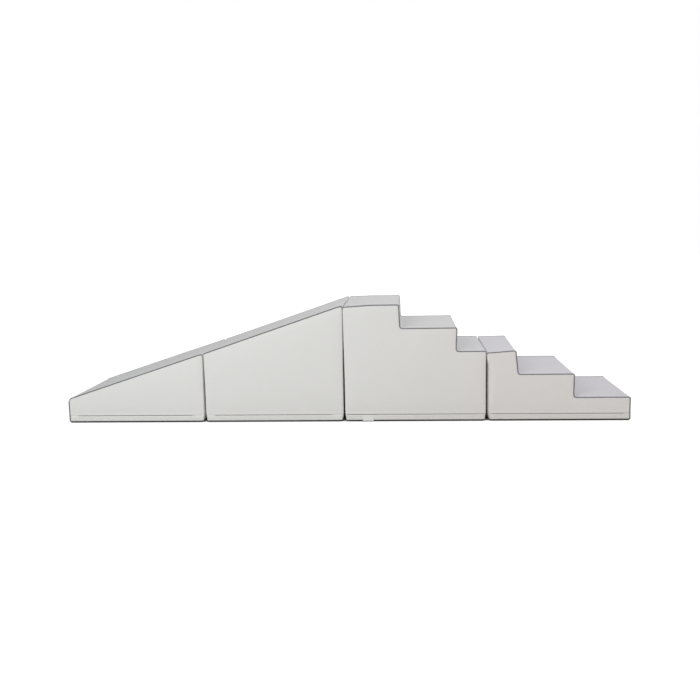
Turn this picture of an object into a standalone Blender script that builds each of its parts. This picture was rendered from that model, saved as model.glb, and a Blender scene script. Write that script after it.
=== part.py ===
"""A foam climbing set for toddlers: two ramp blocks and two step blocks, standing end to end.

Each block is a foam core in a sewn cover. The cover has a front and a back panel, a grey strip
over the slope or the treads, an end panel at each joint, a non-slip base, piping in the top
seams and a concealed zip low on the front, whose slider has no pull. Hook and loop strips join
the blocks.
Metres, +Z up. X runs along the row, from the foot of the ramp to the foot of the steps.
"""

import math

import bmesh
import bpy
from mathutils import Vector

# Blocks
BLOCK_LENGTH = 0.600
SET_WIDTH = 0.500
BLOCK_GAP = 0.005
RISER_HEIGHT = 0.100
TREAD_DEPTH = 0.240
NOSE_HEIGHT = 0.106
MID_RISERS = 3
TOP_RISERS = 5
NOSE_RADIUS = 0.014
TREAD_EDGE_RADIUS = 0.008
STEP_FOOT_RADIUS = 0.012
END_EDGE_RADIUS = 0.008
FLOOR_EDGE_RADIUS = 0.006
FLOOR_CORNER_RADIUS = 0.010

# Fullness of the foam
SIDE_CROWN = 0.006
TOP_CROWN = 0.003
SIDE_CROWN_REACH = 0.100
TOP_CROWN_REACH = 0.060
CORE_CROWN_SHARE = 0.8

# Cover
SKIN = 0.0012
COVER_SLACK = 0.0005
SEAM_GAP = 0.0004
END_SEAM_GAP = 0.0014
SEAT_GAP = 0.0003
CORE_CHAMFER = 0.0034
PIPING_RADIUS = 0.00225
PIPING_PROUD = 0.001
PIPING_SIDES = 8

# Zip
ZIP_HEIGHT = 0.030
ZIP_GROOVE = 0.003
ZIP_TAPE_WIDTH = 0.024
ZIP_TAPE_SEWN = 0.004
ZIP_TAPE_STEP = 0.002
ZIP_TAPE_THICKNESS = 0.0008
ZIP_TAPE_DEPTH = 0.0069
ZIP_TAPE_SEAT = 0.0004
ZIP_COIL_WIDTH = 0.005
ZIP_COIL_DEPTH = 0.0015
ZIP_CHANNEL_SPARE = 0.002
RAMP_ZIP_MARGIN = 0.040
STEP_ZIP_MARGIN = 0.012

# Zip slider, a child-safe one that has a bridge and no pull
SLIDER_LENGTH = 0.012
SLIDER_WIDTH = 0.009
SLIDER_DEPTH = 0.0032
SLIDER_PLATE = 0.0011
SLIDER_FLANGE = 0.001
SLIDER_FLANGE_DEPTH = 0.0014
SLIDER_NOSE_SHARE = 0.45
SLIDER_END_CLEARANCE = 0.004
BRIDGE_LENGTH = 0.0085
BRIDGE_THICKNESS = 0.0018
BRIDGE_SUNK = 0.0004
BRIDGE_WALL = 0.0009
BRIDGE_FLOOR = 0.0003

# Hook and loop strips
STRIP_LENGTH = 0.360
STRIP_WIDTH = 0.050
STRIP_CORNER = 0.006
STRIP_HEIGHT_SHARE = 0.55

# Blank tab sewn under the zip of the tall steps
TAB_WIDTH = 0.046
TAB_LENGTH = 0.021
TAB_THICKNESS = 0.0008
TAB_FLOOR_CLEARANCE = 0.003
TAB_FROM_END = 0.100

# Facets
ARC_STEP = math.radians(22.5)
ROUNDING_FACETS = 2
WIDEST_COLUMN = 0.130
OVERRUN = 0.002

HALF_TREAD_DEPTH = BLOCK_LENGTH - 2 * TREAD_DEPTH
MID_HEIGHT = MID_RISERS * RISER_HEIGHT
TOP_HEIGHT = TOP_RISERS * RISER_HEIGHT
FACE_Y = SET_WIDTH / 2 - SIDE_CROWN
CORE_INSET = SKIN + COVER_SLACK
PIPING_INSET = PIPING_RADIUS - PIPING_PROUD
SEAM_INSET = PIPING_INSET + PIPING_RADIUS + SEAM_GAP
CROWN_START = ZIP_HEIGHT + ZIP_TAPE_WIDTH / 2
STRIP_THICKNESS = (BLOCK_GAP - 3 * SEAT_GAP) / 2

COLOURS = {
    "cover_leather": ((0.80, 0.79, 0.77), 0.55, 0.0),
    "tread_leather": ((0.58, 0.58, 0.58), 0.55, 0.0),
    "piping": ((0.22, 0.22, 0.23), 0.60, 0.0),
    "base_fabric": ((0.05, 0.05, 0.055), 0.90, 0.0),
    "foam": ((0.86, 0.84, 0.76), 0.95, 0.0),
    "zip_tape": ((0.74, 0.73, 0.71), 0.80, 0.0),
    "zip_metal": ((0.70, 0.70, 0.70), 0.35, 1.0),
    "hook_strip": ((0.62, 0.62, 0.62), 0.90, 0.0),
    "loop_strip": ((0.66, 0.66, 0.66), 0.95, 0.0),
    "tab_fabric": ((0.76, 0.77, 0.78), 0.85, 0.0),
}


class Block:
    """One block's profile, seen from the front, in its own frame: X from its left end, Z up."""

    def __init__(self, name, corners, breaks, left_joint, right_joint, zip_margin):
        self.name = name
        self.corners = corners
        self.breaks = breaks
        self.left_joint = left_joint
        self.right_joint = right_joint
        self.zip_start = zip_margin
        self.zip_end = BLOCK_LENGTH - zip_margin
        self.empty = None


def ramp_block(name, low, high, low_radius, left_joint, margin):
    corners = [
        (0, 0, FLOOR_CORNER_RADIUS),
        (0, low, low_radius),
        (BLOCK_LENGTH, high, END_EDGE_RADIUS),
        (BLOCK_LENGTH, 0, FLOOR_CORNER_RADIUS),
    ]
    return Block(name, corners, [0, BLOCK_LENGTH], left_joint, True, margin)


def step_block(name, top, depths, right_joint, margin):
    corners = [(0, 0, FLOOR_CORNER_RADIUS), (0, top, END_EDGE_RADIUS)]
    breaks = [0]
    x, z = 0, top
    for depth in depths[:-1]:
        x += depth
        corners.append((x, z, TREAD_EDGE_RADIUS))
        z -= RISER_HEIGHT
        corners.append((x, z, STEP_FOOT_RADIUS))
        breaks.append(x)
    last_radius = END_EDGE_RADIUS if right_joint else TREAD_EDGE_RADIUS
    corners.append((BLOCK_LENGTH, z, last_radius))
    corners.append((BLOCK_LENGTH, 0, FLOOR_CORNER_RADIUS))
    breaks.append(BLOCK_LENGTH)
    return Block(name, corners, breaks, True, right_joint, margin)


def material(name):
    found = bpy.data.materials.get(name)
    if found:
        return found
    colour, roughness, metallic = COLOURS[name]
    made = bpy.data.materials.new(name)
    made.use_nodes = True
    shader = made.node_tree.nodes["Principled BSDF"]
    shader.inputs["Base Color"].default_value = (*colour, 1)
    shader.inputs["Roughness"].default_value = roughness
    shader.inputs["Metallic"].default_value = metallic
    made.diffuse_color = (*colour, 1)
    return made


def add_object(name, bm, finish, parent, location=(0, 0, 0), collection="climbing_set"):
    mesh = bpy.data.meshes.new(name)
    bm.to_mesh(mesh)
    bm.free()
    obj = bpy.data.objects.new(name, mesh)
    bpy.data.collections[collection].objects.link(obj)
    obj.parent = parent
    obj.location = location
    if finish:
        mesh.materials.append(material(finish))
    return obj


def add_cutter(name, bm, parent, location=(0, 0, 0)):
    obj = add_object(name, bm, None, parent, location, "cutters")
    obj.hide_render = True
    obj.display_type = "WIRE"
    return obj


def combine(obj, other, operation):
    modifier = obj.modifiers.new(other.name, "BOOLEAN")
    modifier.operation = operation
    modifier.solver = "EXACT"
    modifier.object = other


def thicken(obj, thickness):
    modifier = obj.modifiers.new("skin", "SOLIDIFY")
    modifier.thickness = thickness
    modifier.offset = -1
    modifier.use_even_offset = True


# Rounded outlines

def offset_corners(corners, insets):
    """The profile with each edge moved inwards by its own inset, as (corner, radius) pairs."""
    points = [Vector((x, z)) for x, z, _ in corners]
    count = len(points)
    lines = []
    for i in range(count):
        run = (points[(i + 1) % count] - points[i]).normalized()
        inward = Vector((run.y, -run.x))
        lines.append((points[i] + inward * insets[i], run))
    moved = []
    for i in range(count):
        (p, u), (q, v) = lines[i - 1], lines[i]
        turn = u.x * v.y - u.y * v.x
        along = ((q - p).x * v.y - (q - p).y * v.x) / turn
        inset = max(insets[i - 1], insets[i])
        radius = corners[i][2] - inset if turn < 0 else corners[i][2] + inset
        moved.append((p + u * along, radius))
    return moved


def outline(corners, insets):
    """The rounded outline as one list of points for each corner, each an arc between its tangents."""
    moved = offset_corners(corners, insets)
    arcs = []
    for i, (corner, radius) in enumerate(moved):
        to_last = (moved[i - 1][0] - corner).normalized()
        to_next = (moved[(i + 1) % len(moved)][0] - corner).normalized()
        half = to_last.angle(to_next) / 2
        centre = corner + (to_last + to_next).normalized() * radius / math.sin(half)
        start = corner + to_last * radius / math.tan(half) - centre
        sweep = math.pi - 2 * half
        if to_last.x * to_next.y - to_last.y * to_next.x > 0:
            sweep = -sweep
        steps = max(2, math.ceil(abs(sweep) / ARC_STEP))
        arcs.append([centre + turned(start, sweep * k / steps) for k in range(steps + 1)])
    return arcs


def turned(vector, angle):
    c, s = math.cos(angle), math.sin(angle)
    return Vector((vector.x * c - vector.y * s, vector.x * s + vector.y * c))


def all_insets(block, inset):
    return [inset] * len(block.corners)


def trimmed(path, cut):
    """The path with each end drawn back by cut."""
    first = path[0] + (path[1] - path[0]).normalized() * cut
    last = path[-1] + (path[-2] - path[-1]).normalized() * cut
    return [first, *path[1:-1], last]


# The soft shape

def ease(distance, reach):
    return math.sin(math.pi / 2 * max(0, min(distance / reach, 1)))


def tuck(distance, radius):
    """How far a rounded edge has drawn in, at this distance from the face that it rounds into."""
    if distance >= radius:
        return 0
    side = radius - max(distance, 0)
    return radius - math.sqrt(radius * radius - side * side)


def top_height(block, x):
    pairs = list(zip(block.corners[1:-1], block.corners[2:-1]))
    for (x0, z0, _), (x1, z1, _) in pairs:
        if x1 > x0 and x <= x1:
            return z0 + (z1 - z0) * (x - x0) / (x1 - x0)
    return block.corners[-2][1]


def side_bulge(block, x, z):
    point = Vector((x, z))
    nearest = z - CROWN_START
    for a, b in zip(block.corners[:-1], block.corners[1:]):
        start, run = Vector(a[:2]), Vector(b[:2]) - Vector(a[:2])
        share = max(0, min((point - start).dot(run) / run.length_squared, 1))
        nearest = min(nearest, (point - start - run * share).length)
    return SIDE_CROWN * ease(nearest, SIDE_CROWN_REACH)


def top_bulge(block, x, y):
    to_break = min(abs(x - b) for b in block.breaks)
    to_side = FACE_Y - abs(y)
    return TOP_CROWN * ease(to_break, TOP_CROWN_REACH) * ease(to_side, SIDE_CROWN_REACH)


def shape(block, bm, inset=0, crown_share=1):
    """Gives a flat-sided piece the block's fullness, rounded joint ends and rounded floor edges."""
    for vert in bm.verts:
        x, y, z = vert.co
        pull = tuck(z - inset, FLOOR_EDGE_RADIUS)
        if block.left_joint:
            pull += tuck(x - inset, END_EDGE_RADIUS)
        if block.right_joint:
            pull += tuck(BLOCK_LENGTH - x - inset, END_EDGE_RADIUS)
        rise = crown_share * top_bulge(block, x, y) * z / top_height(block, x)
        vert.co.y = y * (1 + (crown_share * side_bulge(block, x, z) - pull) / FACE_Y)
        vert.co.z = z + rise


def cut_across(bm, axis, places):
    normal = Vector((0, 0, 0))
    normal[axis] = 1
    for place in places:
        geometry = list(bm.verts) + list(bm.edges) + list(bm.faces)
        bmesh.ops.bisect_plane(bm, geom=geometry, plane_co=normal * place, plane_no=normal, dist=1e-6)


def rounding_places(radius):
    turns = [math.pi / 2 * k / ROUNDING_FACETS for k in range(1, ROUNDING_FACETS + 1)]
    return [radius * (1 - math.cos(turn)) for turn in turns]


def column_places(block, inset=0):
    """Where a panel is cut upright: where each tread's crown levels off, and evenly between."""
    places = []
    for a, b in zip(block.breaks[:-1], block.breaks[1:]):
        low, high = a + TOP_CROWN_REACH, b - TOP_CROWN_REACH
        count = math.ceil((high - low) / WIDEST_COLUMN)
        places += [low + (high - low) * k / max(count, 1) for k in range(count + 1)]
    near = [inset + d for d in rounding_places(END_EDGE_RADIUS)]
    if block.left_joint:
        places += near
    if block.right_joint:
        places += [BLOCK_LENGTH - d for d in near]
    return places


def row_places(inset=0):
    """Where a panel is cut level: half-way up each riser, where the crown starts and at the floor edge."""
    rows = [RISER_HEIGHT * (k + 1 / 2) for k in range(TOP_RISERS)]
    return [CROWN_START, *rows, *(inset + d for d in rounding_places(FLOOR_EDGE_RADIUS))]


def side_faces(bm):
    bm.normal_update()
    return [f for f in bm.faces if abs(f.normal.y) > 0.9]


def fold_corners(bm, block):
    """Splits the side faces at the profile's corners, so that the cover and the foam crown alike."""
    for x, z, radius in block.corners:
        if radius != STEP_FOOT_RADIUS:
            continue
        corner = Vector((x, 0, z))
        near = [f for f in side_faces(bm)
                if (f.calc_center_median().xz - corner.xz).length < TOP_CROWN_REACH]
        geometry = list({part for f in near for part in (f, *f.edges, *f.verts)})
        bmesh.ops.bisect_plane(bm, geom=geometry, plane_co=corner, plane_no=(1, 0, -1), dist=1e-6)
    crowded = [f for f in side_faces(bm) if len(f.verts) > 4]
    bmesh.ops.poke(bm, faces=crowded, center_mode="BOUNDS")


def cross_places():
    flat = FACE_Y - SIDE_CROWN_REACH
    return [-flat, 0, flat]


# Pieces of a block

def strip(block, name, path, half_width, finish):
    """A skin that follows part of the profile, from the front seam to the back seam."""
    bm = bmesh.new()
    line = [bm.verts.new((p.x, -half_width, p.y)) for p in trimmed(path, SEAM_GAP / 2)]
    edges = [bm.edges.new(pair) for pair in zip(line[:-1], line[1:])]
    made = bmesh.ops.extrude_edge_only(bm, edges=edges)["geom"]
    moved = [v for v in made if isinstance(v, bmesh.types.BMVert)]
    bmesh.ops.translate(bm, verts=moved, vec=(0, 2 * half_width, 0))
    bm.normal_update()
    run = path[1] - path[0]
    face = min(bm.faces, key=lambda f: (f.calc_center_median().xz - path[0]).length)
    if face.normal.xz.dot(Vector((-run.y, run.x))) < 0:
        bmesh.ops.reverse_faces(bm, faces=bm.faces)
    cut_across(bm, 1, cross_places())
    cut_across(bm, 0, column_places(block))
    shape(block, bm)
    obj = add_object(f"{block.name}_{name}", bm, finish, block.empty)
    thicken(obj, SKIN)
    return obj


def top_path(arcs, block):
    first = 1 if block.left_joint else 0
    last = len(arcs) - 1 if block.right_joint else len(arcs)
    return [p for arc in arcs[first:last] for p in arc]


def side_panel(block, name, side):
    """The front (side -1) or back (side +1) panel, wrapped round the joint ends and the floor edge."""
    insets = all_insets(block, SEAM_INSET)
    insets[0] = 0 if block.left_joint else SEAM_INSET
    insets[-2] = 0 if block.right_joint else SEAM_INSET
    insets[-1] = 0
    corners = [(x, z, max(r, SEAM_INSET + SEAM_GAP)) for x, z, r in block.corners]
    points = [p for arc in outline(corners, insets) for p in arc]
    bm = bmesh.new()
    face = bm.faces.new([bm.verts.new((p.x, side * FACE_Y, p.y)) for p in points])
    face.normal_update()
    if face.normal.y * side < 0:
        face.normal_flip()
    cut_across(bm, 0, column_places(block))
    cut_across(bm, 2, row_places())
    fold_corners(bm, block)
    shape(block, bm)
    obj = add_object(f"{block.name}_{name}", bm, "cover_leather", block.empty)
    thicken(obj, SKIN)
    return obj


def foam_core(block):
    arcs = outline(block.corners, all_insets(block, CORE_INSET))
    half = FACE_Y - CORE_INSET - CORE_CHAMFER
    bm = bmesh.new()
    back = bm.faces.new([bm.verts.new((p.x, half, p.y)) for arc in arcs for p in arc])
    made = bmesh.ops.extrude_face_region(bm, geom=[back])["geom"]
    moved = [v for v in made if isinstance(v, bmesh.types.BMVert)]
    bmesh.ops.translate(bm, verts=moved, vec=(0, -2 * half, 0))
    bmesh.ops.recalc_face_normals(bm, faces=bm.faces)
    caps = [f for f in bm.faces if abs(f.normal.y) > abs(f.normal.x) + abs(f.normal.z)]
    for cap in caps:
        bmesh.ops.inset_region(bm, faces=[cap], thickness=CORE_CHAMFER, depth=CORE_CHAMFER,
                               use_even_offset=True)
    cut_across(bm, 0, column_places(block, CORE_INSET))
    cut_across(bm, 1, cross_places())
    cut_across(bm, 2, row_places(CORE_INSET))
    fold_corners(bm, block)
    shape(block, bm, CORE_INSET, CORE_CROWN_SHARE)
    core = add_object(f"{block.name}_foam_core", bm, "foam", block.empty)
    top = ZIP_TAPE_WIDTH / 2 + ZIP_CHANNEL_SPARE
    depth = ZIP_TAPE_DEPTH + COVER_SLACK
    low = (block.zip_start - ZIP_CHANNEL_SPARE, -FACE_Y - OVERRUN, ZIP_HEIGHT - top)
    high = (block.zip_end + ZIP_CHANNEL_SPARE, -FACE_Y + depth, ZIP_HEIGHT + top)
    combine(core, add_cutter(f"{block.name}_zip_channel", box(low, high), block.empty), "DIFFERENCE")


def box(low, high):
    bm = bmesh.new()
    bmesh.ops.create_cube(bm, size=1)
    size = Vector(high) - Vector(low)
    bmesh.ops.scale(bm, verts=bm.verts, vec=size)
    bmesh.ops.translate(bm, verts=bm.verts, vec=(Vector(high) + Vector(low)) / 2)
    return bm


def prism(points, extrusion):
    """A flat outline of 3-D points, extruded."""
    bm = bmesh.new()
    face = bm.faces.new([bm.verts.new(p) for p in points])
    made = bmesh.ops.extrude_face_region(bm, geom=[face])["geom"]
    moved = [v for v in made if isinstance(v, bmesh.types.BMVert)]
    bmesh.ops.translate(bm, verts=moved, vec=extrusion)
    bmesh.ops.recalc_face_normals(bm, faces=bm.faces)
    return bm


def piping(block, name, side):
    """The cord in a top seam. It stops where a joint end starts to round."""
    arcs = outline(block.corners, all_insets(block, PIPING_INSET))
    path = top_path(arcs, block)
    if block.left_joint:
        path = path[len(arcs[1]) - 1:]
    else:
        path = path[len(arcs[0]) - 1:]
    last = arcs[-2] if block.right_joint else arcs[-1]
    path = path[:len(path) - len(last) + 1]
    curve = bpy.data.curves.new(name, "CURVE")
    curve.dimensions = "3D"
    curve.bevel_depth = PIPING_RADIUS
    curve.bevel_resolution = PIPING_SIDES // 2 - 2
    curve.use_fill_caps = True
    spline = curve.splines.new("POLY")
    spline.points.add(len(path) - 1)
    for point, place in zip(spline.points, path):
        point.co = (place.x, side * (FACE_Y - PIPING_INSET), place.y, 1)
    curve.materials.append(material("piping"))
    obj = bpy.data.objects.new(f"{block.name}_{name}", curve)
    bpy.data.collections["climbing_set"].objects.link(obj)
    obj.parent = block.empty


def front_y(proud):
    """The Y of a point this far in front of the front panel's flat lower stretch."""
    return -FACE_Y - proud


def concealed_zip(block, front):
    """Cuts the groove, and sets the tape with its coil behind it."""
    low = (block.zip_start, front_y(OVERRUN), ZIP_HEIGHT - ZIP_GROOVE / 2)
    high = (block.zip_end, front_y(-SKIN - OVERRUN), ZIP_HEIGHT + ZIP_GROOVE / 2)
    combine(front, add_cutter(f"{block.name}_zip_groove", box(low, high), block.empty), "DIFFERENCE")
    outer = ZIP_TAPE_WIDTH / 2
    bend = outer - ZIP_TAPE_SEWN
    inner = bend - ZIP_TAPE_STEP
    coil = ZIP_COIL_WIDTH / 2
    seat = -SKIN - ZIP_TAPE_SEAT
    deep = -ZIP_TAPE_DEPTH
    web = deep + ZIP_TAPE_THICKNESS
    upper = [(seat, outer), (seat, bend), (web, inner), (web, coil), (web + ZIP_COIL_DEPTH, coil)]
    under = [(deep, inner), (seat - ZIP_TAPE_THICKNESS, bend), (seat - ZIP_TAPE_THICKNESS, outer)]
    half = upper + [(proud, -up) for proud, up in reversed(upper)]
    half += [(proud, -up) for proud, up in reversed(under)] + under
    start = block.zip_start + SEAM_GAP
    points = [(start, front_y(proud), ZIP_HEIGHT + up) for proud, up in half]
    length = block.zip_end - block.zip_start - 2 * SEAM_GAP
    add_object(f"{block.name}_zip_tape", prism(points, (length, 0, 0)), "zip_tape", block.empty)
    zip_slider(block)


def zip_slider(block):
    """A body behind the groove, with a bridge that stands in the groove and takes the tool that opens it."""
    centre = (slider_x(block), front_y(0), ZIP_HEIGHT)
    half, wide = SLIDER_LENGTH / 2, SLIDER_WIDTH / 2
    nose = half - SLIDER_LENGTH * SLIDER_NOSE_SHARE
    plate_back = SLIDER_DEPTH + SLIDER_PLATE
    upper = [(half, wide), (-nose, wide), (-half, wide / 2)]
    shield = upper + [(x, -z) for x, z in reversed(upper)]
    body_bm = prism([(x, plate_back, z) for x, z in shield], (0, -SLIDER_PLATE, 0))
    body = add_object(f"{block.name}_zip_slider", body_bm, "zip_metal", block.empty, centre)
    inside = ZIP_COIL_WIDTH / 2 + SEAT_GAP
    for mark, way in (("upper", 1), ("lower", -1)):
        z0, z1 = sorted((way * inside, way * (inside + SLIDER_FLANGE)))
        low = (-nose, plate_back - SLIDER_PLATE / 2, z0)
        high = (half - SEAT_GAP, plate_back + SLIDER_FLANGE_DEPTH, z1)
        flange = add_cutter(f"{block.name}_slider_{mark}_flange", box(low, high), block.empty, centre)
        combine(body, flange, "UNION")
    deep = SLIDER_DEPTH + SLIDER_PLATE / 2
    bridge_bm = bridge_piece(BRIDGE_LENGTH, BRIDGE_SUNK, deep, BRIDGE_WALL, BRIDGE_THICKNESS)
    combine(body, add_cutter(f"{block.name}_bridge", bridge_bm, block.empty, centre), "UNION")
    top, floor = BRIDGE_SUNK + BRIDGE_WALL, SLIDER_DEPTH - BRIDGE_FLOOR
    window_bm = bridge_piece(BRIDGE_LENGTH - 3 * BRIDGE_WALL, top, floor, BRIDGE_WALL / 2, 2 * BRIDGE_THICKNESS)
    combine(body, add_cutter(f"{block.name}_bridge_window", window_bm, block.empty, centre), "DIFFERENCE")


def bridge_piece(length, near, far, radius, thickness):
    """A rounded block from near to far behind the front panel's face, about the groove's middle."""
    middle = (near + far) / 2
    outline_points = rounded_rectangle(length, far - near, radius)
    return prism([(x, middle + y, -thickness / 2) for x, y in outline_points], (0, 0, thickness))


def slider_x(block):
    return block.zip_end - SLIDER_END_CLEARANCE - SLIDER_LENGTH / 2


def rounded_rectangle(width, height, radius):
    """Points of a rectangle about its middle, with corners of three facets."""
    points = []
    for quarter, (sx, sy) in enumerate(((1, 1), (-1, 1), (-1, -1), (1, -1))):
        for k in range(4):
            angle = math.pi / 2 * (quarter + k / 3)
            points.append((sx * (width / 2 - radius) + radius * math.cos(angle),
                           sy * (height / 2 - radius) + radius * math.sin(angle)))
    return points


def fastener_strip(block, name, finish, at_right):
    """A hook or loop strip sewn to the outside of a joint end."""
    joint_height = block.corners[-2][1] if at_right else block.corners[1][1]
    z = joint_height * STRIP_HEIGHT_SHARE
    x = BLOCK_LENGTH + SEAT_GAP if at_right else -SEAT_GAP - STRIP_THICKNESS
    points = [(x, y, z + up) for y, up in rounded_rectangle(STRIP_LENGTH, STRIP_WIDTH, STRIP_CORNER)]
    add_object(f"{block.name}_{name}", prism(points, (STRIP_THICKNESS, 0, 0)), finish, block.empty)


def blank_tab(block):
    low_z = TAB_FLOOR_CLEARANCE
    low = (TAB_FROM_END - TAB_WIDTH / 2, front_y(SEAT_GAP + TAB_THICKNESS), low_z)
    high = (TAB_FROM_END + TAB_WIDTH / 2, front_y(SEAT_GAP), low_z + TAB_LENGTH)
    add_object(f"{block.name}_blank_tab", box(low, high), "tab_fabric", block.empty)


def build_block(block, x):
    block.empty = bpy.data.objects.new(block.name, None)
    bpy.data.collections["climbing_set"].objects.link(block.empty)
    block.empty.location = (x, 0, 0)
    arcs = outline(block.corners, all_insets(block, 0))
    skin_half = FACE_Y - END_SEAM_GAP
    foam_core(block)
    front = side_panel(block, "front_panel", -1)
    side_panel(block, "back_panel", 1)
    strip(block, "top_panel", top_path(arcs, block), FACE_Y - SEAM_INSET, "tread_leather")
    strip(block, "base_panel", [arcs[-1][-1], arcs[0][0]], skin_half, "base_fabric")
    if block.left_joint:
        strip(block, "left_end_panel", arcs[0] + arcs[1][:1], skin_half, "cover_leather")
    if block.right_joint:
        strip(block, "right_end_panel", arcs[-2][-1:] + arcs[-1], skin_half, "cover_leather")
    piping(block, "front_piping", -1)
    piping(block, "back_piping", 1)
    concealed_zip(block, front)
    if block.left_joint:
        fastener_strip(block, "left_hook_strip", "hook_strip", False)
    if block.right_joint:
        fastener_strip(block, "right_loop_strip", "loop_strip", True)


def main():
    for obj in list(bpy.data.objects):
        bpy.data.objects.remove(obj, do_unlink=True)
    for name in ("climbing_set", "cutters"):
        collection = bpy.data.collections.new(name)
        bpy.context.scene.collection.children.link(collection)
    tall_depths = [TREAD_DEPTH, TREAD_DEPTH, HALF_TREAD_DEPTH]
    blocks = [
        ramp_block("low_wedge", NOSE_HEIGHT, MID_HEIGHT, NOSE_RADIUS, False, RAMP_ZIP_MARGIN),
        ramp_block("high_ramp", MID_HEIGHT, TOP_HEIGHT, END_EDGE_RADIUS, True, RAMP_ZIP_MARGIN),
        step_block("tall_steps", TOP_HEIGHT, tall_depths, True, STEP_ZIP_MARGIN),
        step_block("low_steps", MID_HEIGHT, tall_depths[::-1], False, STEP_ZIP_MARGIN),
    ]
    pitch = BLOCK_LENGTH + BLOCK_GAP
    start = -(len(blocks) * pitch - BLOCK_GAP) / 2
    for i, block in enumerate(blocks):
        build_block(block, start + i * pitch)
    blank_tab(blocks[2])


main()
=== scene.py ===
# %% [markdown]
# # Dressing a foam climbing set
# A toddler's climbing set stands in a row: a low wedge, a high ramp, tall steps and low steps. Each
# block is a piece of foam in a sewn cover of artificial leather. The imported model already holds every
# piece at its real size. This lesson models the covers again as fabric, and finishes every surface.
# It starts by loading the imported model.

# %% Load the imported model
import math

import bmesh
import bpy
from mathutils import Matrix, Vector


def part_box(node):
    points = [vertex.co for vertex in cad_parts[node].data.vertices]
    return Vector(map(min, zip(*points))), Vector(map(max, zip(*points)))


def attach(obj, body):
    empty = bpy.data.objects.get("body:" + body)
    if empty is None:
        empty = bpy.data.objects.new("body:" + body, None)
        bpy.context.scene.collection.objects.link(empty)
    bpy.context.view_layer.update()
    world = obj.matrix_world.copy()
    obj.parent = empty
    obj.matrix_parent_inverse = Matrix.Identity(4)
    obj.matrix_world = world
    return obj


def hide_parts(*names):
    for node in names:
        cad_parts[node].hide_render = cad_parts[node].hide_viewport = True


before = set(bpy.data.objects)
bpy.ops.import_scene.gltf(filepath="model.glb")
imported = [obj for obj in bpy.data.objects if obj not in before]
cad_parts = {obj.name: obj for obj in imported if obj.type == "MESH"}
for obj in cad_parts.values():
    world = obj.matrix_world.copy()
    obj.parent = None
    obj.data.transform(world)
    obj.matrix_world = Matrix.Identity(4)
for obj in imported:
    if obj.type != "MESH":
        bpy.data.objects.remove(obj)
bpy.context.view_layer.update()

MM = 0.001

# %% [markdown]
# ## The camera
# The photo was taken from the front with a long lens, a little to the right of the middle and from
# just above the top step, so each tread shows as a narrow band. Three turns place the camera: yaw
# about the upright axis, pitch down from level, and a slight roll.

# %% Place the camera
EYE = Vector((0.270, -3.814, 0.830))
YAW, PITCH, ROLL = (math.radians(angle) for angle in (3.85, 8.27, -1.14))
PHOTO_SIZE = 700
FOCAL_PIXELS = 853

camera = bpy.data.objects.new("camera", bpy.data.cameras.new("camera"))
bpy.context.scene.collection.objects.link(camera)
camera.data.sensor_width = 36
camera.data.lens = camera.data.sensor_width * FOCAL_PIXELS / PHOTO_SIZE
turn = Matrix.Rotation(YAW, 4, "Z") @ Matrix.Rotation(math.pi / 2 - PITCH, 4, "X")
camera.matrix_world = Matrix.Translation(EYE) @ turn @ Matrix.Rotation(ROLL, 4, "Z")
bpy.context.scene.camera = camera
print("Lens in mm:", round(camera.data.lens, 2))

# %% [markdown]
# ## Shader sums
# A material's pattern is a sum of sockets. Written node by node, a sum takes a page, so a small class
# wraps a socket and turns each Python operator into a Math node. A second class holds one material and
# adds any other node with one method: the node's settings come first, then the values of its sockets.

# %% A socket that takes part in sums
class Value:
    """An output socket. Each operator adds its Math node to the same material."""

    def __init__(self, finish, socket):
        self.finish = finish
        self.socket = socket

    def __add__(self, other):
        return self.finish.maths("ADD", self, other)

    def __sub__(self, other):
        return self.finish.maths("SUBTRACT", self, other)

    def __rsub__(self, other):
        return self.finish.maths("SUBTRACT", other, self)

    def __mul__(self, other):
        return self.finish.maths("MULTIPLY", self, other)

    def __truediv__(self, other):
        return self.finish.maths("DIVIDE", self, other)

    __radd__ = __add__
    __rmul__ = __mul__


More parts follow.
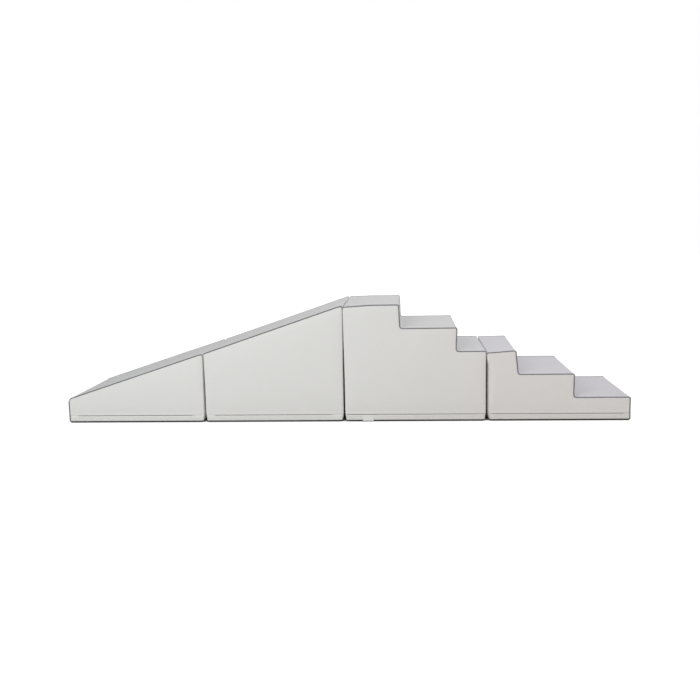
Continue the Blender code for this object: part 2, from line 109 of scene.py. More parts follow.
# %% A material in the making
class Finish:
    """One material. node() adds any node and gives back the output that is asked for."""

    def __init__(self, name, roughness, metallic=0.0):
        self.material = bpy.data.materials.new(name)
        self.material.use_nodes = True
        self.tree = self.material.node_tree
        self.shader = self.tree.nodes["Principled BSDF"]
        self.shader.inputs["Roughness"].default_value = roughness
        self.shader.inputs["Metallic"].default_value = metallic
        self.place = self.node("ShaderNodeTexCoord", output="Object")

    def set(self, socket, value):
        if isinstance(value, Value):
            self.tree.links.new(value.socket, socket)
        elif isinstance(value, (tuple, list)) and socket.type == "RGBA":
            socket.default_value = (*value[:3], 1)
        else:
            socket.default_value = value

    def node(self, kind, settings=None, values=None, output=0):
        made = self.tree.nodes.new(kind)
        for name, setting in (settings or {}).items():
            setattr(made, name, setting)
        for name, value in (values or {}).items():
            self.set(made.inputs[name], value)
        return Value(self, made.outputs[output])

    def maths(self, operation, *numbers):
        return self.node("ShaderNodeMath", {"operation": operation}, dict(enumerate(numbers)))

    def mix(self, factor, first, second, blend="MIX"):
        """A colour between two colours. Sockets 6 and 7 are the Mix node's colour inputs."""
        settings = {"data_type": "RGBA", "blend_type": blend, "clamp_factor": True}
        return self.node("ShaderNodeMix", settings, {0: factor, 6: first, 7: second}, output=2)

    def noise(self, size, detail=2.0, place=None, distortion=0.0):
        """Cloudy noise whose blobs are about this size in metres."""
        values = {"Vector": place or self.place, "Scale": 1 / size, "Detail": detail,
                  "Distortion": distortion}
        return self.node("ShaderNodeTexNoise", {}, values)

    def cells(self, size, feature="F1", place=None, spread=1.0):
        """Cells of about this size in metres."""
        values = {"Vector": place or self.place, "Scale": 1 / size, "Randomness": spread}
        return self.node("ShaderNodeTexVoronoi", {"feature": feature}, values)

    def step(self, value, low, high):
        """0 below low, 1 above high, and smooth between."""
        values = {"Value": value, "From Min": low, "From Max": high}
        return self.node("ShaderNodeMapRange", {"interpolation_type": "SMOOTHSTEP"}, values)

    def stretched(self, scale):
        return self.node("ShaderNodeMapping", {}, {"Vector": self.place, "Scale": scale})

    def axes(self):
        """The place as three numbers."""
        split = self.tree.nodes.new("ShaderNodeSeparateXYZ")
        self.set(split.inputs[0], self.place)
        return [Value(self, output) for output in split.outputs]

    def bump(self, height, distance, strength=1.0):
        values = {"Height": height, "Distance": distance, "Strength": strength}
        normal = self.node("ShaderNodeBump", {}, values)
        self.set(self.shader.inputs["Normal"], normal)

    def colour(self, value):
        self.set(self.shader.inputs["Base Color"], value)

    def rough(self, value):
        self.set(self.shader.inputs["Roughness"], value)


# %% [markdown]
# ## Artificial leather
# The covers are coated fabric with a fine leather grain: pebbles about a millimetre wide, with finer
# creases between them. Cells give the pebbles, and the distance to a cell's edge gives the creases.
# The colour drifts very slightly over a panel, and play leaves faint smudges on the treads. The colour
#  is also patchily darker towards the floor, painted shade darkens the grain's creases, and a painted
#  tint of the light turns it warmer towards the right end of the row.

# %% Leather finishes
GRAIN = 1.1 * MM
WRINKLE = 14 * MM
DRIFT = 220 * MM
SMUDGE = 45 * MM
# The size of the patches that darken the leather towards the floor, and the heights where they start and
# are full.
LOW_PATCH = 20 * MM
LOW_PATCH_TOP, LOW_PATCH_FULL = 35 * MM, 4 * MM


def leather(name, colour, shade, smudge_share, painted_light_tint=None, turn=(0.1, 0.7)):
    """Artificial leather, with a darker shade for smudges, for painted shade in the grain's creases and
    for patches towards the floor. Between the two places of turn, in metres along the row, its colour
    goes over to the colour given for the right end, which is a painted tint of the light."""
    finish = Finish(name, roughness=0.5)
    wander = finish.noise(3 * GRAIN, detail=2)
    pebbles = finish.cells(GRAIN, "SMOOTH_F1")
    creases = finish.step(finish.cells(GRAIN, "DISTANCE_TO_EDGE"), 0.0, 0.12)
    pull = finish.noise(WRINKLE, detail=3, distortion=0.6)
    height = creases * 0.6 + (1 - pebbles) * 0.5 + wander * 0.35 + pull * 1.2
    finish.bump(height, 0.16 * MM, 0.55)
    drift = finish.noise(DRIFT, detail=3)
    patches = finish.step(finish.noise(SMUDGE, detail=5, distortion=1.2), 0.56, 0.72)
    along, _, up = finish.axes()
    # Patchily darker towards the floor.
    low_darkening = finish.step(up, LOW_PATCH_TOP, LOW_PATCH_FULL) * finish.noise(LOW_PATCH, detail=4) * 0.35
    # The crease term is painted shade in the grain's creases. The patches are real smudges, and the drift
    # is random tone.
    dirt_and_painted_shade = patches * smudge_share + low_darkening + (1 - creases) * 0.10 + (drift - 0.5) * 0.12
    # Painted light: the colour takes on the light's tint towards the right end of the row.
    plain = finish.mix(finish.step(along, *turn), colour, painted_light_tint or colour)
    finish.colour(finish.mix(dirt_and_painted_shade, plain, shade))
    finish.rough(0.47 + pebbles * 0.10 + patches * 0.05)
    return finish.material


# Where a leather has a last colour, it is a painted tint of the light for the right end of the row.
LEATHERS = {
    "cover_leather": leather("cover_leather", (0.80, 0.79, 0.772), (0.65, 0.635, 0.61), 0.05,
                             (0.80, 0.768, 0.742)),
    "tread_leather": leather("tread_leather", (0.565, 0.563, 0.566), (0.45, 0.445, 0.45), 0.14,
                             (0.558, 0.546, 0.581), turn=(0.4, 0.7)),
    "piping": leather("piping_leather", (0.19, 0.19, 0.197), (0.13, 0.13, 0.135), 0.10),
}
print("Leathers:", sorted(LEATHERS))

# %% [markdown]
# ## Base fabric, foam and zip
# The base is black non-slip fabric with a grid of small rubber dots, made from the fraction of the
# place along X and Y. The foam is full of fine open pores. The zip's tape is woven, and its slider is
# metal with fine scratches.

# %% Base, foam and zip finishes
DOT_PITCH, DOT_SHARE = 4.2 * MM, 0.3
CLOTH_THREAD, TAPE_THREAD = 0.7 * MM, 0.5 * MM
PORE, LUMP = 1.3 * MM, 9 * MM


def dots(finish, pitch, radius_share):
    """1 on round dots in a square grid over X and Y, and 0 between them."""
    across, along, _ = finish.axes()
    parts = []
    for axis in (across, along):
        cell = finish.maths("FRACT", axis / pitch) - 0.5
        parts.append(cell * cell)
    spot = finish.maths("SQRT", parts[0] + parts[1])
    return 1 - finish.step(spot, radius_share - 0.08, radius_share + 0.02)


def weave(finish, thread, first, second):
    """The height of a plain weave over two of the place's numbers, from 0 to 1."""
    waves = [finish.maths("SINE", axis * (math.pi / thread)) for axis in (first, second)]
    return waves[0] * waves[1] * 0.5 + 0.5


def base_fabric():
    finish = Finish("base_fabric", roughness=0.85)
    x, y, z = finish.axes()
    spots = dots(finish, DOT_PITCH, DOT_SHARE)
    threads = weave(finish, CLOTH_THREAD, x + z, y + z)
    finish.bump(spots + threads * 0.25, 0.5 * MM, 0.8)
    lint = finish.step(finish.noise(3 * MM, detail=6), 0.62, 0.75) * 0.25
    cloth = finish.mix(threads * 0.6 + lint, (0.022, 0.022, 0.024), (0.07, 0.07, 0.074))
    finish.colour(finish.mix(spots, cloth, (0.016, 0.016, 0.017)))
    finish.rough(0.9 - spots * 0.35)
    return finish.material


def open_foam():
    finish = Finish("open_foam", roughness=0.95)
    pores = finish.step(finish.cells(PORE), 0.1, 0.45)
    lumps = finish.noise(LUMP, detail=4)
    finish.bump(pores * 0.8 + lumps * 0.5, 0.6 * MM, 0.8)
    finish.colour(finish.mix(pores * 0.7 + lumps * 0.3, (0.62, 0.58, 0.44), (0.87, 0.85, 0.76)))
    return finish.material


def zip_fabric():
    finish = Finish("zip_fabric", roughness=0.8)
    x, _, z = finish.axes()
    ribs = weave(finish, TAPE_THREAD, x + z, x - z)
    fluff = finish.noise(2 * MM, detail=4)
    finish.bump(ribs, 0.2 * MM, 0.8)
    finish.colour(finish.mix(ribs * 0.5 + fluff * 0.3, (0.62, 0.57, 0.54), (0.84, 0.79, 0.75)))
    return finish.material


def coil_nylon():
    finish = Finish("coil_nylon", roughness=0.4)
    finish.bump(finish.noise(0.3 * MM), 0.01 * MM, 0.5)
    finish.colour(finish.mix(finish.noise(5 * MM, detail=3), (0.62, 0.59, 0.55), (0.72, 0.69, 0.65)))
    return finish.material


def zip_metal():
    finish = Finish("nickel", roughness=0.3, metallic=1.0)
    scratches = finish.noise(0.4 * MM, detail=3, place=finish.stretched((0.12, 1, 1)))
    finish.bump(scratches, 0.02 * MM, 0.5)
    finish.colour(finish.mix(finish.noise(3 * MM), (0.60, 0.59, 0.57), (0.72, 0.71, 0.70)))
    finish.rough(0.22 + scratches * 0.25)
    return finish.material


# %% [markdown]
# ## Hook and loop, thread and ribbon
# The joint faces carry hook strips and loop strips. The hooks stand in rows on a flat tape, and the
# loops are a fuzzy pile. Thread is twisted, and the blank ribbon tab is a fine flat weave.

# %% Fastener, thread and ribbon finishes
HOOK_PITCH = 0.9 * MM
CURL, TUFT = 0.8 * MM, 2.2 * MM
TWIST = 0.5 * MM
RIBBON_THREAD = 0.45 * MM


def hook_tape():
    finish = Finish("hook_tape", roughness=0.75)
    _, y, z = finish.axes()
    rows = weave(finish, HOOK_PITCH, y, z)
    finish.bump(rows + finish.noise(0.6 * MM, detail=3) * 0.4, 0.5 * MM, 0.9)
    finish.colour(finish.mix(rows, (0.43, 0.43, 0.43), (0.66, 0.66, 0.655)))
    return finish.material


def loop_pile():
    finish = Finish("loop_pile", roughness=0.95)
    curls = finish.noise(CURL, detail=6, distortion=2.5)
    tufts = finish.cells(TUFT)
    finish.bump(curls + tufts * 0.5, 0.9 * MM, 0.9)
    finish.colour(finish.mix(curls, (0.45, 0.45, 0.45), (0.74, 0.735, 0.73)))
    return finish.material


def sewing_thread():
    finish = Finish("sewing_thread", roughness=0.6)
    x, y, z = finish.axes()
    twist = finish.maths("SINE", (x + y + z) * (2 * math.pi / TWIST))
    finish.bump(twist, 0.05 * MM, 0.7)
    finish.colour(finish.mix(twist * 0.3 + 0.5, (0.68, 0.66, 0.63), (0.80, 0.78, 0.75)))
    return finish.material


def ribbon():
    finish = Finish("ribbon", roughness=0.7)
    x, _, z = finish.axes()
    ribs = weave(finish, RIBBON_THREAD, x, z)
    finish.bump(ribs, 0.12 * MM, 0.8)
    finish.colour(finish.mix(ribs * 0.6 + finish.noise(6 * MM) * 0.2, (0.78, 0.775, 0.77),
                             (0.90, 0.895, 0.885)))
    return finish.material


FINISHES = {**LEATHERS, "base_fabric": base_fabric(), "foam": open_foam(), "zip_tape": zip_fabric(),
            "coil": coil_nylon(), "zip_metal": zip_metal(), "hook_strip": hook_tape(),
            "loop_strip": loop_pile(), "thread": sewing_thread(), "tab_fabric": ribbon()}
print("Finishes:", len(FINISHES))

# %% [markdown]
# ## The blocks' profiles
# Seen from the front, each block is a flat outline that was cut from foam: two ramps whose slopes run
# in one line, and two flights of steps with 100 mm risers. The corners are listed clockwise from the
# floor at the left, each with the radius that the cover gives it. Where the row's blocks stand comes
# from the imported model, and the depth from the front face to the back is the covers' flat size.
#
# Each block also holds how it has settled, for later. A joint has how far the block leans over it at
# the top, the shares of the height between which that lean grows, and how far the joint's front and
# back edges stand open below. A bulge has its place along the block, its height, how far up and down
# it reaches, and how far it shifts the cover sideways at the front and at the back.

# %% Describe the blocks
LENGTH = 600 * MM
FACE_Y = 244 * MM
RISER = 100 * MM
TREAD = 240 * MM
NOSE_HEIGHT = 106 * MM
ROUNDING = 8 * MM
FOOT_RADIUS = 8.5 * MM
NOSE_RADIUS = 20 * MM
RAMP_ZIP_MARGIN = 40 * MM


class Block:
    """One block's outline in its own frame, X from its left end, and the joints at its ends."""

    def __init__(self, name, corners, left_joint, right_joint, zip_margin, droop=0, droop_reach=0,
                 bulges=()):
        self.name = name
        self.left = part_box(f"{name}_top_panel")[0].x
        self.corners = corners
        self.left_joint = left_joint
        self.right_joint = right_joint
        self.zip_start = zip_margin
        self.zip_end = LENGTH - zip_margin
        self.droop = droop
        self.droop_reach = droop_reach
        self.bulges = bulges

    def tangent(self, index):
        """How far along its edges a corner's rounding reaches."""
        count = len(self.corners)
        near = [Vector(self.corners[(index + k) % count][:2]) for k in (-1, 0, 1)]
        half = (near[0] - near[1]).angle(near[2] - near[1]) / 2
        return self.corners[index][2] / math.tan(half)

    def corner_near(self, point):
        """The index of the outline's corner that is nearest to a point of the row."""
        flat = Vector((point.x - self.left, point.z))
        return min(range(len(self.corners)), key=lambda i: (Vector(self.corners[i][:2]) - flat).length)


def ramp_corners(low, high, low_radius):
    return [(0, 0, ROUNDING), (0, low, low_radius), (LENGTH, high, ROUNDING), (LENGTH, 0, ROUNDING)]


def step_corners(top, depths):
    corners = [(0, 0, ROUNDING), (0, top, ROUNDING)]
    x, z = 0, top
    for depth in depths:
        x += depth
        corners.append((x, z, ROUNDING))
        z -= RISER
        corners.append((x, z, FOOT_RADIUS))
    corners.append((LENGTH, z, ROUNDING))
    corners.append((LENGTH, 0, ROUNDING))
    return corners


HALF_TREAD = LENGTH - 2 * TREAD
SLOPE_JOINT = (1.1 * MM, 0.4, 1.0, 0.8 * MM)
TOP_JOINT = (2.35 * MM, 0.3, 1.0, 1.0 * MM)
TALL_JOINT = (1.2 * MM, 0.81, 0.9, 0)
LOW_JOINT = (1.2 * MM, 0.81, 0.9, 5.5 * MM)
TALL_BULGES = [(TREAD, 5 * RISER, 110 * MM, -3 * MM, -3 * MM),
               (2 * TREAD, 3 * RISER, 110 * MM, -4 * MM, -4 * MM)]
LOW_BULGES = [(HALF_TREAD, 2 * RISER, 110 * MM, 9 * MM, 9 * MM),
              (HALF_TREAD, 3 * RISER, 110 * MM, 0, 9 * MM),
              (HALF_TREAD + TREAD, 2 * RISER, 220 * MM, 3 * MM, 3 * MM),
              (LENGTH, 0.6 * RISER, 220 * MM, -5 * MM, -5 * MM)]
BLOCKS = [
    Block("low_wedge", ramp_corners(NOSE_HEIGHT, 3 * RISER, NOSE_RADIUS), None, SLOPE_JOINT,
          RAMP_ZIP_MARGIN),
    Block("high_ramp", ramp_corners(3 * RISER, 5 * RISER, ROUNDING), SLOPE_JOINT, TOP_JOINT,
          RAMP_ZIP_MARGIN, droop=1 * MM, droop_reach=40 * MM),
    Block("tall_steps", step_corners(5 * RISER, [TREAD, TREAD]), TOP_JOINT, TALL_JOINT,
          zip_margin=ROUNDING, droop=6 * MM, droop_reach=130 * MM, bulges=TALL_BULGES),
    Block("low_steps", step_corners(3 * RISER, [HALF_TREAD, TREAD]), LOW_JOINT, None,
          zip_margin=ROUNDING, droop=7 * MM, droop_reach=HALF_TREAD, bulges=LOW_BULGES),
]
print("Left ends in mm:", [round(block.left / MM, 1) for block in BLOCKS])

# %% [markdown]
# ## Working in edit mode
# The pieces are modelled as by hand: choose some faces or edges, then extrude, cut or bevel them. In a
# script the choosing is a test on each part's place, normal or neighbours. Everything is deselected
# first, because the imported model's pieces are still selected. A test on a place allows for a hair's
# width of rounding error. A modifier is added, set and applied in one call.

# %% Small helpers for modelling
PARTS = {"VERT": "verts", "EDGE": "edges", "FACE": "faces"}
HAIR = 0.1 * MM


def make_active(obj):
    bpy.ops.object.select_all(action="DESELECT")
    bpy.context.view_layer.objects.active = obj
    obj.select_set(True)


def edit(obj):
    make_active(obj)
    bpy.ops.object.mode_set(mode="EDIT")


def finish_edit():
    bpy.ops.object.mode_set(mode="OBJECT")
    return bpy.context.object


def add_box(middle, size):
    bpy.ops.object.select_all(action="DESELECT")
    bpy.ops.mesh.primitive_cube_add(size=1, location=middle, scale=size)
    bpy.ops.object.transform_apply(location=True, rotation=True, scale=True)
    return bpy.context.object


def extrude(shift):
    bpy.ops.mesh.extrude_region_move(TRANSFORM_OT_translate={"value": shift})


def separated(source):
    """Makes the chosen part of an object a new object, and gives that back."""
    bpy.ops.mesh.separate(type="SELECTED")
    finish_edit()
    return next(obj for obj in bpy.context.selected_objects if obj != source)


def modify(obj, kind, **settings):
    """Adds a modifier to the active object, and applies it."""
    modifier = obj.modifiers.new(kind.title(), kind)
    for name, value in settings.items():
        setattr(modifier, name, value)
    bpy.ops.object.modifier_apply(modifier=modifier.name)


def choose(kind, test):
    """Selects only the vertices, edges or faces that pass the test."""
    bpy.ops.mesh.select_mode(type=kind)
    bpy.ops.mesh.select_all(action="DESELECT")
    mesh = bpy.context.object.data
    shell = bmesh.from_edit_mesh(mesh)
    chosen = [part for part in getattr(shell, PARTS[kind]) if test(part)]
    for part in chosen:
        part.select_set(True)
    bmesh.update_edit_mesh(mesh)
    return len(chosen)


def cut(axis, place, test=None):
    """Cuts the chosen faces, or all, by the plane that stands square to an axis at a place."""
    if test:
        choose("FACE", test)
    else:
        bpy.ops.mesh.select_all(action="SELECT")
    normal = Vector([float(axis == name) for name in "XYZ"])
    bpy.ops.mesh.bisect(plane_co=normal * place, plane_no=normal, threshold=HAIR / 2)


def between(stops, widest):
    """The stops, and even places between each two so that no gap is wider than the widest."""
    places = [stops[0]]
    for low, high in zip(stops[:-1], stops[1:]):
        count = max(1, math.ceil((high - low) / widest - 0.01))
        places += [low + (high - low) * k / count for k in range(1, count + 1)]
    return places


# %% [markdown]
# ## A block as one closed shell
# All the panels of a cover meet in shared seams, so the cover starts as one closed shell. A cube is
# added at the block's size. For a ramp, its top is tilted. For steps, it is cut at each riser and the
# part behind it is extruded up. Only the edges that run from front to back are bevelled here: the
# seams along the front and the back stay sharp for the piping.

# %% Model the plain shells
def plain_box(block, height):
    """A box as long and deep as the block, in edit mode. Gives back its middle."""
    middle = (block.left + LENGTH / 2, 0, height / 2)
    add_box(middle, (LENGTH, 2 * FACE_Y, height))
    bpy.ops.object.mode_set(mode="EDIT")
    return middle


def plain_ramp(block):
    low, high = block.corners[1][1], block.corners[2][1]
    middle = plain_box(block, high)
    choose("VERT", lambda v: v.co.z > high / 2 and v.co.x < middle[0])
    bpy.ops.transform.translate(value=(0, 0, low - high))


def plain_steps(block):
    plain_box(block, block.corners[-2][1])
    risers = [block.left + x for x, _, radius in block.corners if radius == FOOT_RADIUS]
    for x in risers:
        cut("X", x)
    for x in reversed(risers):
        choose("FACE", lambda f: f.normal.z > 0.9 and f.calc_center_median().x < x)
        extrude((0, 0, RISER))
    bpy.ops.mesh.select_all(action="SELECT")
    bpy.ops.mesh.dissolve_limited(angle_limit=math.radians(1))


def plain_shell(block):
    if len(block.corners) == 4:
        plain_ramp(block)
    else:
        plain_steps(block)
    mesh = bpy.context.object.data
    shell = bmesh.from_edit_mesh(mesh)
    weights = shell.edges.layers.float.new("bevel_weight_edge")
    for edge in shell.edges:
        start, end = (vert.co for vert in edge.verts)
        if abs(start.y - end.y) > FACE_Y:
            edge[weights] = block.tangent(block.corner_near(start)) / FOOT_RADIUS / 2
    bmesh.update_edit_mesh(mesh)
    obj = finish_edit()
    obj.name = f"{block.name}_shell"
    modify(obj, "BEVEL", limit_method="WEIGHT", width=2 * FOOT_RADIUS, segments=4,
           use_clamp_overlap=False)
    return obj


for block in BLOCKS:
    block.shell = plain_shell(block)
    print(block.shell.name, len(block.shell.data.polygons), "faces")

# %% [markdown]
# ## Cuts for the cloth
# Cloth needs a fine, even mesh, so each shell is cut into cells of about 12 mm. The cuts are closer
# where the cover rounds a joint or the floor edge, and at the zip. Over the slope of a ramp, level cuts
# would leave slivers, so there the upright edges are subdivided instead, which keeps all cells
# four-sided. The narrow strips at the two ends of a ramp are then cut at the heights of their neighbours.

# %% Cut the shells into cells
CELL = 12 * MM
ARC = [ROUNDING * (1 - math.cos(math.pi / 8 * k)) for k in (1, 2, 3, 4)]
TURN_UP = 6.5 * MM
END_ZONE = 16 * MM
ZIP_ROWS = [16 * MM, 22 * MM, 25.5 * MM, 28.95 * MM, 31.05 * MM, 34.5 * MM, 38 * MM, 44 * MM]
ZIP_SPARE = 4 * MM
SLIT_TAPER = 2 * MM
RAMP_ROWS = 24


def is_side(face):
    return abs(face.normal.y) > 0.9


def is_upright(face):
    return abs(face.normal.z) < 0.05


def cut_columns(block):
    """Level cells along the row, between the roundings of the outline's corners."""
    margins = [block.zip_start - ZIP_SPARE, block.zip_start, block.zip_start + SLIT_TAPER]
    if len(block.corners) == 4:
        stops = [END_ZONE, *margins, *(LENGTH - m for m in reversed(margins)), LENGTH - END_ZONE]
        places = between(stops, CELL)
    else:
        risers = [x for x, _, radius in block.corners if radius == FOOT_RADIUS]
        starts = [ROUNDING] + [x + FOOT_RADIUS for x in risers]
        ends = [x - ROUNDING for x in risers] + [LENGTH - ROUNDING]
        places = []
        for start, end in zip(starts, ends):
            inner = [m for m in (*margins, *(LENGTH - m for m in margins)) if start < m < end]
            places += between(sorted([start, *inner, end]), CELL)
    for x in places:
        cut("X", block.left + x)
    for joint, way, end in ((block.left_joint, 1, 0), (block.right_joint, -1, LENGTH)):
        if joint:
            for x in ARC:
                cut("X", block.left + end + way * x, is_side)
    return places


def cut_rows(block, columns):
    for z in ARC:
        cut("Z", z, is_side)
    cut("Z", TURN_UP)
    for z in ZIP_ROWS:
        cut("Z", z, is_upright)
    if len(block.corners) == 4:
        cut_ramp_rows(block, columns)
        return
    treads = sorted({z for _, z, radius in block.corners if radius == FOOT_RADIUS})
    starts = [ZIP_ROWS[-1]] + [z + FOOT_RADIUS for z in treads]
    ends = [z - ROUNDING for z in treads] + [block.corners[1][1] - ROUNDING]
    for start, end in zip(starts, ends):
        for z in between([start, end], CELL):
            cut("Z", z, is_upright)


def cut_ramp_rows(block, columns):
    low, high = block.left + columns[0] - HAIR, block.left + columns[-1] + HAIR

    def is_post(edge):
        start, end = (vert.co for vert in edge.verts)
        inside = low < start.x < high and min(start.z, end.z) > ZIP_ROWS[-1] - HAIR
        return inside and abs(start.x - end.x) < HAIR

    choose("EDGE", is_post)
    bpy.ops.mesh.subdivide(number_cuts=RAMP_ROWS - 1)
    (_, z0, _), (_, z1, _) = block.corners[1:3]
    for column, side in ((columns[0], -1), (columns[-1], 1)):
        edge_x = block.left + column
        top = z0 + (z1 - z0) * column / LENGTH
        for k in range(1, RAMP_ROWS):
            z = ZIP_ROWS[-1] + (top - ZIP_ROWS[-1]) * k / RAMP_ROWS
            cut("Z", z, lambda f: is_upright(f) and side * (f.calc_center_median().x - edge_x) > 0)


def cut_across():
    reach = FACE_Y - END_ZONE
    for y in between([-reach, reach], CELL):
        cut("Y", y)


for block in BLOCKS:
    edit(block.shell)
    cut_rows(block, cut_columns(block))
    cut_across()
    finish_edit()
    print(block.shell.name, len(block.shell.data.polygons), "faces")

# %% [markdown]
# ## Marking the panels
# A tailor would chalk the pattern pieces on the cloth. Here each face gets the number of its panel,
# from its place and normal: front, back, the grey strip over the top, an end at each joint, and the
# base, whose fabric turns up a few millimetres all round. Where two numbers meet there is a seam.

# %% Mark the panels
FRONT, BACK, TOP, BASE, LEFT_END, RIGHT_END = range(1, 7)
END_CUT = 3 * MM


def panel_of(face, block):
    middle = face.calc_center_median()
    x = middle.x - block.left
    if middle.z < TURN_UP:
        return BASE
    if is_side(face):
        return FRONT if face.normal.y < 0 else BACK
    left_top = block.corners[1][1] - block.tangent(1)
    right_top = block.corners[-2][1] - block.tangent(len(block.corners) - 2)
    if block.left_joint and x < ROUNDING and middle.z < left_top:
        return LEFT_END
    if block.right_joint and x > LENGTH - ROUNDING and middle.z < right_top:
        return RIGHT_END
    return TOP


def mark_panels(block):
    mesh = bpy.context.object.data
    shell = bmesh.from_edit_mesh(mesh)
    panel = shell.faces.layers.int.new("panel")
    for face in shell.faces:
        face[panel] = panel_of(face, block)
    bmesh.update_edit_mesh(mesh)


def panel_numbers():
    """The panel layer of the mesh in edit mode."""
    return bmesh.from_edit_mesh(bpy.context.object.data).faces.layers.int["panel"]


for block in BLOCKS:
    edit(block.shell)
    mark_panels(block)
    for y in (END_CUT - FACE_Y, FACE_Y - END_CUT):
        cut("Y", y, lambda f: f[panel_numbers()] in (BASE, LEFT_END, RIGHT_END))
    finish_edit()
    counts = [0] * 7
    for item in block.shell.data.attributes["panel"].data:
        counts[item.value] += 1
    print(block.name, "faces in each panel:", counts[1:])

# %% [markdown]
# ## Seams with piping
# The grey strip meets the front and the back in piped seams. A cord lies in the seam, and the two
# panels roll down to it. One bevel of two rows along the sharp edge makes the band where each panel
# rolls, and its middle line is the sewing line.
#
# Points that the bevel leaves on top of each other are merged, because a single edge of no length stops
# the cloth simulation from moving anything.

# %% Bevel the piped seams
SEAM_BAND = 3.9 * MM
MERGE = 0.15 * MM


def panels_beside(edge, panel):
    return {face[panel] for face in edge.link_faces}


def piped_with(side, panel):
    """The test for an edge in the seam between a side panel and the top strip."""
    return lambda edge: panels_beside(edge, panel) == {side, TOP}


for block in BLOCKS:
    edit(block.shell)
    panel = panel_numbers()
    count = choose("EDGE", lambda e: panels_beside(e, panel) in ({FRONT, TOP}, {BACK, TOP}))
    bpy.ops.mesh.bevel(offset=SEAM_BAND, segments=2, profile=0.5, affect="EDGES", clamp_overlap=False)
    bpy.ops.mesh.select_all(action="SELECT")
    bpy.ops.mesh.remove_doubles(threshold=MERGE)
    finish_edit()
    print(block.name, "piped seam edges:", count)

# %% [markdown]
# ## Rounded joint ends and floor edges
# The front and back panels wrap round the block's joint ends and its floor edge. Each point is drawn in
# towards the middle along a quarter circle, by its distance from the end or the floor.

# %% Round the covers' flat sides
def tuck(distance):
    """How far a rounded edge has drawn in, at a distance from the face that it rounds into."""
    side = ROUNDING - min(max(distance, 0), ROUNDING)
    return ROUNDING - math.sqrt(ROUNDING * ROUNDING - side * side)


def round_sides(block):
    for vert in block.shell.data.vertices:
        x, _, z = vert.co
        x -= block.left
        pull = tuck(z)
        if block.left_joint:
            pull += tuck(x)
        if block.right_joint:
            pull += tuck(LENGTH - x)
        vert.co.y *= 1 - pull / FACE_Y


for block in BLOCKS:
    round_sides(block)
print("Rounding radius in mm:", ROUNDING / MM)

# %% [markdown]
# ## Piping
# The piping is a thin cord in a sleeve of dark grey leather. Its path is the sewing line, so those edges
# are copied out of the shell, made a curve with a round bevel, and made a mesh again. At a joint the
# cord runs a little way round the corner, and is cut there.

# %% Lay the piping in its seams
PIPING_RADIUS = 2.25 * MM
PIPING_END = 2 * MM
CAP_MERGE = 0.01 * MM


def cord_in_seam(block, side, name):
    edit(block.shell)
    in_seam = piped_with(side, panel_numbers())
    low = block.left + (PIPING_END if block.left_joint else -1)
    high = block.left + LENGTH - (PIPING_END if block.right_joint else -1)
    choose("EDGE", lambda e: in_seam(e) and all(low < v.co.x < high for v in e.verts))
    bpy.ops.mesh.duplicate()
    make_active(separated(block.shell))
    bpy.ops.object.convert(target="CURVE")
    cord = bpy.context.object
    cord.data.bevel_depth = PIPING_RADIUS
    cord.data.bevel_resolution = 3
    cord.data.use_fill_caps = True
    bpy.ops.object.convert(target="MESH")
    cord = bpy.context.object
    cord.name = f"{block.name}_{name}"
    edit(cord)
    bpy.ops.mesh.select_all(action="SELECT")
    bpy.ops.mesh.remove_doubles(threshold=CAP_MERGE)
    bpy.ops.mesh.normals_make_consistent(inside=False)
    return finish_edit()


for block in BLOCKS:
    block.cords = [cord_in_seam(block, FRONT, "front_cord"), cord_in_seam(block, BACK, "back_cord")]
    print(block.name, "piping faces:", [len(cord.data.polygons) for cord in block.cords])

# %% [markdown]
# ## Sewing the cover down
# A seam pulls the cover in against the foam. The points on the seams are pushed in: far enough under
# the piping for the cord to lie in a valley, and slightly at the plain seams. They and their neighbours
# are then held in place by a vertex group, as are the base, the flat band with the zip, and the edges
# of the foam where the cover turns over them.

# %% Push in the seams and pin them
PIPED_DEPTH = 2.4 * MM
PLAIN_DEPTH = 0.9 * MM


def sewn_points(shell, panel):
    """The points in piped seams, and those in plain seams."""
    piped, plain = set(), set()
    for edge in shell.edges:
        beside = panels_beside(edge, panel)
        if beside in ({FRONT, TOP}, {BACK, TOP}):
            piped.update(edge.verts)
        elif len(beside) > 1:
            plain.update(edge.verts)
    return piped, plain - piped


def near_foam_edge(block, vert):
    index = block.corner_near(vert.co)
    x, z, radius = block.corners[index]
    return (Vector((vert.co.x - block.left, vert.co.z)) - Vector((x, z))).length < radius + MM


def sew(block):
    edit(block.shell)
    mesh = block.shell.data
    shell = bmesh.from_edit_mesh(mesh)
    panel = shell.faces.layers.int["panel"]
    shell.normal_update()
    piped, plain = sewn_points(shell, panel)
    held = set(piped | plain)
    for vert in piped | plain:
        held.update(edge.other_vert(vert) for edge in vert.link_edges)
    for vert in shell.verts:
        numbers = {face[panel] for face in vert.link_faces}
        in_zip_band = FRONT in numbers and vert.co.z < ZIP_ROWS[-1] + HAIR
        if BASE in numbers or in_zip_band or near_foam_edge(block, vert):
            held.add(vert)
    shifts = {vert: vert.normal * (PIPED_DEPTH if vert in piped else PLAIN_DEPTH)
              for vert in piped | plain}
    for vert, shift in shifts.items():
        vert.co -= shift
    indices = [vert.index for vert in held]
    bmesh.update_edit_mesh(mesh)
    finish_edit()
    block.shell.vertex_groups.new(name="sewn").add(indices, 1.0, "REPLACE")
    return len(indices)


for block in BLOCKS:
    print(block.name, "points held:", sew(block), "of", len(block.shell.data.vertices))

# %% [markdown]
# ## Filling the covers
# The foam is cut a little oversize, so the cover stands taut and slightly crowned. A cloth simulation
# with air pressure inside, and no gravity, swells each panel between its seams. Foam stops a real cover
# far sooner than air would, so each point's move is eased towards the most that its panel allows.

# %% Inflate the shells
PRESSURE = 4
LAST_FRAME = 20
CROWNS = {FRONT: 6 * MM, BACK: 6 * MM, TOP: 3 * MM, BASE: 0, LEFT_END: 0.2 * MM, RIGHT_END: 0.2 * MM}
EASE = 1.3


